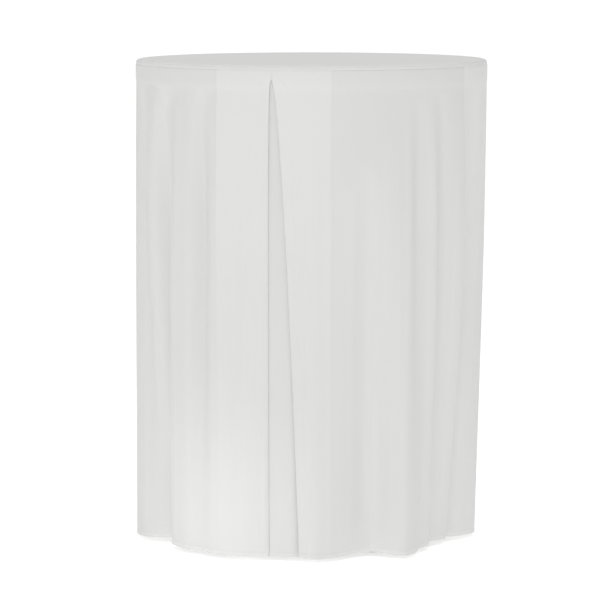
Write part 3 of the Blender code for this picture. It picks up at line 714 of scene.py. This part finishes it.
def build_underlay(pleat, material):
    """The cloth behind a pleat's mouth, from back fold to back fold."""
    drop = row_drops()
    share = drop / SKIRT_LENGTH
    left, radius = back_fold(pleat, -1, share)
    right, _ = back_fold(pleat, 1, share)
    part = np.linspace(0, 1, UNDERLAY_COLUMNS + 1)[:, None]
    stand_out = PLEATS[pleat][2] / 1000 * growth(share, FOLD_START)
    swell = np.sin(math.pi * part)
    ripple = UNDERLAY_RIPPLE * np.sin(math.tau * 3 * part + 1.1) * swell * growth(share, 0.15)
    bulge = stand_out * np.abs(swell) ** UNDERLAY_FULLNESS + ripple
    flat = part[:, 0] * 2 * PLEAT_RETURN
    angle = left + (right - left) * part
    inward = edge_relief(drop) + seam_roll(drop)
    rows = radius - PLY_STEP + bulge - inward
    index = PLEAT_NAMES.index(pleat)
    names = list(FOLDS)
    for over in (skirt_layers(names[index], drop)[2], skirt_layers(names[index - 1], drop)[3]):
        angle, rows = tucked((angle, rows), *over)
    rows = rows + hem_shape(drop[None, :], flat[:, None], UNDERLAY_SEED)
    points = to_points(angle, rows, -drop[None, :] + np.zeros_like(rows))
    points[..., 2] = fallen(points, drop)
    # Painted light over the hem's turned-up band.
    band = 1 - ease((SKIRT_LENGTH - drop[None, :] - HEM_BAND) / 0.001)
    plies = HEM_BAND_PAINTED_LIGHT * band + np.zeros_like(rows)
    sheet = grid_object(f"underlay_{pleat}", points, flat, drop, plies, material)
    return thicken(sheet)


# ---- Top panel

def top_profile():
    """Radius, height and distance from the middle of the top panel's rings."""
    middle = CLOTH_THICKNESS / 2
    outer = COVER_RADIUS - middle
    top = COVER_TOP - middle
    bend = RIM_ROUND - middle
    flat = spaced([(FLAT_CENTRE, FLAT_PITCH), (outer - bend, NEAR_RIM_PITCH)])[1:]
    rings = [(r, top) for r in flat]
    turns = np.radians(np.linspace(90, 0, RIM_STEPS + 1)[1:])
    rings += [(outer - bend + bend * math.cos(a), top - bend + bend * math.sin(a)) for a in turns]
    start = top - bend
    for part in TURNDOWN_STOPS:
        height = start + (SEAM_HEIGHT - start) * part
        rings.append((outer - TOP_ROLL * part ** 3, height))
    rings = np.array(rings)
    steps = np.hypot(*np.diff(np.vstack([[0.0, top], rings]), axis=0).T)
    return rings, np.cumsum(steps)


def build_top_panel(material):
    """The round panel, turned down over the table's edge to the seam."""
    rings, run = top_profile()
    turn = np.arange(RIM_COLUMNS) * math.tau / RIM_COLUMNS
    bm = bmesh.new()
    layer = bm.loops.layers.uv.new("cloth")
    kept = bm.verts.layers.float.new("plies")
    centre = bm.verts.new((0, 0, COVER_TOP - CLOTH_THICKNESS / 2))
    flat = {centre: (0.0, 0.0)}
    rows = []
    for (radius, height), distance in zip(rings, run):
        sag = TOP_SAG * np.sin(turn * 9 + radius * 40) * math.sin(math.pi * min(1, radius / TOP_SAG_REACH))
        rim = ease((radius - RIM_WAVE_START) / RIM_WAVE_RUN)
        wave = (0.00025 * np.sin(turn * 41 + 1.3) + 0.0002 * np.sin(turn * 67)) * rim
        row = []
        for a, z, r in zip(turn, height + sag * (1 - rim), radius + wave):
            vertex = bm.verts.new((r * math.sin(a), -r * math.cos(a), z))
            vertex[kept] = 0.0
            flat[vertex] = (distance * math.sin(a), -distance * math.cos(a))
            row.append(vertex)
        rows.append(row)
    for i in range(RIM_COLUMNS):
        j = (i + 1) % RIM_COLUMNS
        bm.faces.new((centre, rows[0][i], rows[0][j]))
        for inner, outer in zip(rows, rows[1:]):
            bm.faces.new((inner[i], outer[i], outer[j], inner[j]))
    for face in bm.faces:
        for loop in face.loops:
            loop[layer].uv = flat[loop.vert]
    mesh = bpy.data.meshes.new("top_cover")
    bm.to_mesh(mesh)
    bm.free()
    mesh.shade_smooth()
    mesh.materials.append(material)
    made = bpy.data.objects.new("top_cover", mesh)
    bpy.context.scene.collection.objects.link(made)
    return thicken(made)


# ---- Bar tacks

def copied(piece):
    """A copy of a piece, with its own mesh."""
    made = piece.copy()
    made.data = piece.data.copy()
    bpy.context.scene.collection.objects.link(made)
    return made


def place_in_mesh(pieces):
    """Selects pieces and puts their place, turn and scale into their meshes."""
    bpy.ops.object.select_all(action="DESELECT")
    for piece in pieces:
        piece.select_set(True)
    bpy.context.view_layer.objects.active = pieces[0]
    bpy.ops.object.transform_apply(location=True, rotation=True, scale=True)


def build_bar_tack(material):
    """A short bar of close stitches across the top of the front pleat's mouth."""
    bpy.ops.object.select_all(action="DESELECT")
    bpy.ops.mesh.primitive_uv_sphere_add(segments=8, ring_count=6, radius=1.0)
    stitch = bpy.context.object
    stitch.scale = (THREAD_RADIUS * THREAD_FLATTEN, THREAD_RADIUS, STITCH_HEIGHT / 2)
    place_in_mesh([stitch])
    stitches = [stitch] + [copied(stitch) for _ in range(TACK_THREADS - 1)]
    reach = FACE_RADIUS + CLOTH_THICKNESS / 2 + THREAD_RADIUS * 0.7
    for i, stitch in enumerate(stitches):
        turn = (i / (TACK_THREADS - 1) - 0.5) * TACK_WIDTH / FACE_RADIUS
        stitch.location = (reach * math.sin(turn), -reach * math.cos(turn), SKIRT_TOP - TACK_DROP)
        stitch.rotation_euler = (0.0, STITCH_LEAN if i % 2 else -STITCH_LEAN, turn)
    place_in_mesh(stitches)
    bpy.ops.object.join()
    bpy.ops.object.shade_smooth()
    tack = bpy.context.object
    tack.data.materials.append(material)
    return tack


# ---- Settings, operators and panel

class CoverSettings(bpy.types.PropertyGroup):
    """What a user would change on the cover"""
    thickness: FloatProperty(
        name="Cloth thickness", description="Thickness of the polyester", default=CLOTH_THICKNESS,
        min=0.0002, max=0.001, precision=4, unit="LENGTH",
    )
    # The top panel's colour is lighter than the skirt's: painted light for the board backing the thin
    # cloth.
    top_lit_colour: FloatVectorProperty(
        name="Top panel", description="Colour of a single layer of the top panel's cloth",
        default=linear("ECECEB")[:3], subtype="COLOR", min=0.0, max=1.0,
    )
    skirt_colour: FloatVectorProperty(
        name="Skirt", description="Colour of a single layer of the skirt's cloth",
        default=linear("E6E6E5")[:3], subtype="COLOR", min=0.0, max=1.0,
    )
    # The underlays' colour is darker than the skirt's: painted shade for the cloth lying back inside the
    # pleats.
    underlay_shaded_colour: FloatVectorProperty(
        name="Underlays", description="Colour of a single layer of the cloth behind the pleats",
        default=linear("E4E4E3")[:3], subtype="COLOR", min=0.0, max=1.0,
    )


class StageSettings(bpy.types.PropertyGroup):
    """The strengths of the floor's glow and the lights"""
    floor_glow: FloatProperty(
        name="Floor glow", description="Light that the floor gives off", default=0.70, min=0.0, max=2.0,
    )
    sky: FloatProperty(
        name="Room light", description="Strength of the even light", default=0.59, min=0.0, max=3.0,
    )
    key: FloatProperty(
        name="Key light", description="Power of the light at the front", default=33.0,
        min=0.0, max=1000.0, unit="POWER",
    )
    low: FloatProperty(
        name="Low light", description="Power of the low light at the left", default=46.0,
        min=0.0, max=1000.0, unit="POWER",
    )
    top: FloatProperty(
        name="Top light", description="Power of the light over the table", default=42.0,
        min=0.0, max=1000.0, unit="POWER",
    )


class COVER_OT_top_panel(bpy.types.Operator):
    """Sews the round top panel over the board and its edge"""
    bl_idname = "cover.top_panel"
    bl_label = "Top panel"

    def execute(self, context):
        # EFEFEE is the painted light over several layers; the top panel lies in one layer, so it doesn't
        # show.
        cloth = polyester("polyester_top", (*context.scene.cover.top_lit_colour, 1.0), "EFEFEE")
        top = build_top_panel(cloth)
        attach(top, "tablecloth")
        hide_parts("top_panel")
        return {"FINISHED"}


class COVER_OT_skirt(bpy.types.Operator):
    """Sews the four skirt panels, each with its folds and its two pleat returns"""
    bl_idname = "cover.skirt"
    bl_label = "Skirt panels"

    def execute(self, context):
        # EBEBEA is the painted light over several layers.
        cloth = polyester("polyester_skirt", (*context.scene.cover.skirt_colour, 1.0), "EBEBEA")
        for name in FOLDS:
            panel = build_skirt_panel(name, cloth)
            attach(panel, "tablecloth")
            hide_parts(f"skirt_panel_{name}")
        return {"FINISHED"}


class COVER_OT_underlays(bpy.types.Operator):
    """Sews an underlay behind each inverted pleat"""
    bl_idname = "cover.underlays"
    bl_label = "Pleat underlays"

    def execute(self, context):
        # EAEAE9 is the painted light over the hem's turned-up band.
        cloth = polyester("polyester_underlay", (*context.scene.cover.underlay_shaded_colour, 1.0), "EAEAE9")
        for pleat in PLEATS:
            underlay = build_underlay(pleat, cloth)
            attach(underlay, "tablecloth")
            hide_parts(f"pleat_underlay_{pleat}")
        return {"FINISHED"}


class COVER_OT_bar_tacks(bpy.types.Operator):
    """Sews a bar tack across the top of each pleat"""
    bl_idname = "cover.bar_tacks"
    bl_label = "Bar tacks"

    def execute(self, context):
        front = build_bar_tack(sewing_thread())
        tacks = [front] + [copied(front) for _ in range(PLEAT_COUNT - 1)]
        for i, (pleat, tack) in enumerate(zip(PLEATS, tacks)):
            tack.rotation_euler.z = math.radians(PLEAT_SPACING * i)
            tack.name = tack.data.name = f"bar_tack_{pleat}"
            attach(tack, "tablecloth")
        place_in_mesh(tacks)
        bpy.ops.object.select_all(action="DESELECT")
        return {"FINISHED"}


class COVER_OT_table_finish(bpy.types.Operator):
    """Gives the table's own parts their wood, iron, zinc and plastic"""
    bl_idname = "cover.table_finish"
    bl_label = "Table finishes"

    def execute(self, context):
        plated = zinc_plate()
        finishes = {
            "tabletop_board": birch_plywood(),
            "edge_moulding": moulded_plastic("edge_pvc", "332E2C", "3E3936", 0.5, 0.5),
            "apron_ring": planed_pine(),
            "top_spider": painted_iron("painted_spider_iron", "1E1F21", "323437", 0.5, 0.9, 0.0004),
            "column_tube": painted_iron("black_enamel", "191A1C", "242528", 0.33, 1.6, 0.0001),
            "base_casting": painted_iron("painted_base_iron", "1A1B1D", "2C2D30", 0.48, 1.2, 0.0005),
            "tie_rod": plated, "tie_rod_washer": plated, "tie_rod_nut": plated,
            "foot_pad": moulded_plastic("foot_nylon", "141416", "1E1E20", 0.55, 0.4),
            "foot_stud": plated, "spider_screw": plated,
        }
        for name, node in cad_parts.items():
            base = name.rstrip("0123456789").rstrip("_")
            finish = finishes.get(name) or finishes.get(base)
            if finish:
                for slot in node.material_slots:
                    slot.material = finish
        return {"FINISHED"}


class COVER_OT_stage(bpy.types.Operator):
    """Lays the floor, hangs the lights and sets up the camera"""
    bl_idname = "cover.stage"
    bl_label = "Stage"

    def execute(self, context):
        scene = context.scene
        settings = scene.cover_stage
        bpy.ops.object.select_all(action="DESELECT")
        bpy.ops.mesh.primitive_circle_add(vertices=96, radius=FLOOR_RADIUS, fill_type="NGON")
        floor = context.object
        floor.name = "studio_floor"
        floor.data.materials.append(studio_floor(settings.floor_glow))
        floor.select_set(False)
        self.set_world(scene, settings.sky)
        self.add_light("key_light", "AREA", (0.35, -6.0, 1.5), (0.0, 0.0, 0.55), settings.key,
                       shape="RECTANGLE", size=2.6, size_y=2.0)
        self.add_light("top_light", "AREA", (0.0, 0.0, 4.0), (0.0, 0.0, 0.0), settings.top,
                       shape="RECTANGLE", size=3.0, size_y=3.0)
        self.add_light("low_light", "SPOT", (-1.7, -3.0, 0.40), (-0.15, -0.35, 0.10), settings.low,
                       spot_size=math.radians(10), spot_blend=1.0, shadow_soft_size=0.15)
        self.add_camera(scene)
        scene.view_settings.view_transform = "Standard"
        return {"FINISHED"}

    def add_camera(self, scene):
        """Sets up the camera a little to the right of the front, looking slightly down."""
        camera = bpy.data.objects.new("camera", bpy.data.cameras.new("camera"))
        scene.collection.objects.link(camera)
        turn = math.radians(CAMERA_AZIMUTH)
        reach = CAMERA_DISTANCE
        camera.location = (reach * math.sin(turn), -reach * math.cos(turn), CAMERA_HEIGHT)
        camera.rotation_euler = (math.radians(90 - CAMERA_PITCH), 0.0, turn + math.radians(CAMERA_YAW))
        camera.data.lens = LENS_MM
        camera.data.clip_end = 200.0
        scene.camera = camera

    def set_world(self, scene, strength):
        """Even studio light, a little brighter overhead than at the sides."""
        world = bpy.data.worlds.new("studio")
        world.use_nodes = True
        scene.world = world
        tree = world.node_tree
        way = add_node(tree, "ShaderNodeTexCoord", out="Generated")
        height = add_node(tree, "ShaderNodeSeparateXYZ", {"Vector": way}, "Z")
        stops = [(0.0, "C9C9C9"), (0.5, "DFDFDF"), (1.0, "E8E8E8")]
        sky = add_node(tree, "ShaderNodeValToRGB", {"Fac": height}, stops=stops)
        backdrop = tree.nodes["Background"]
        feed(backdrop, {"Color": sky})
        backdrop.inputs["Strength"].default_value = strength

    def add_light(self, name, kind, place, target, power, **settings):
        """Hangs a light at a place and aims it at a target."""
        lamp = bpy.data.lights.new(name, kind)
        lamp.energy = power
        for key, value in settings.items():
            setattr(lamp, key, value)
        made = bpy.data.objects.new(name, lamp)
        bpy.context.scene.collection.objects.link(made)
        made.location = place
        made.rotation_euler = (Vector(target) - Vector(place)).to_track_quat("-Z", "Y").to_euler()


class COVER_PT_panel(bpy.types.Panel):
    """The cover's steps and settings"""
    bl_idname = "COVER_PT_panel"
    bl_label = "Fitted table cover"
    bl_space_type = "VIEW_3D"
    bl_region_type = "UI"
    bl_category = "Cover"

    def draw(self, context):
        layout = self.layout
        for group in (context.scene.cover, context.scene.cover_stage):
            for name in group.__annotations__:
                layout.prop(group, name)
        for step in OPERATORS:
            layout.operator(step.bl_idname)


OPERATORS = (
    COVER_OT_top_panel, COVER_OT_skirt, COVER_OT_underlays, COVER_OT_bar_tacks,
    COVER_OT_table_finish, COVER_OT_stage,
)
CLASSES = (CoverSettings, StageSettings) + OPERATORS + (COVER_PT_panel,)


def register():
    """Registers the settings, operators and panel."""
    for made in CLASSES:
        bpy.utils.register_class(made)
    bpy.types.Scene.cover = PointerProperty(type=CoverSettings)
    bpy.types.Scene.cover_stage = PointerProperty(type=StageSettings)


def unregister():
    """Takes them away again."""
    del bpy.types.Scene.cover_stage
    del bpy.types.Scene.cover
    for made in reversed(CLASSES):
        bpy.utils.unregister_class(made)


def main():
    """Makes the cover and the stage."""
    register()
    bpy.ops.object.select_all(action="DESELECT")
    bpy.ops.cover.top_panel()
    bpy.ops.cover.skirt()
    bpy.ops.cover.underlays()
    bpy.ops.cover.bar_tacks()
    bpy.ops.cover.table_finish()
    bpy.ops.cover.stage()


if __name__ == "__main__":
    main()
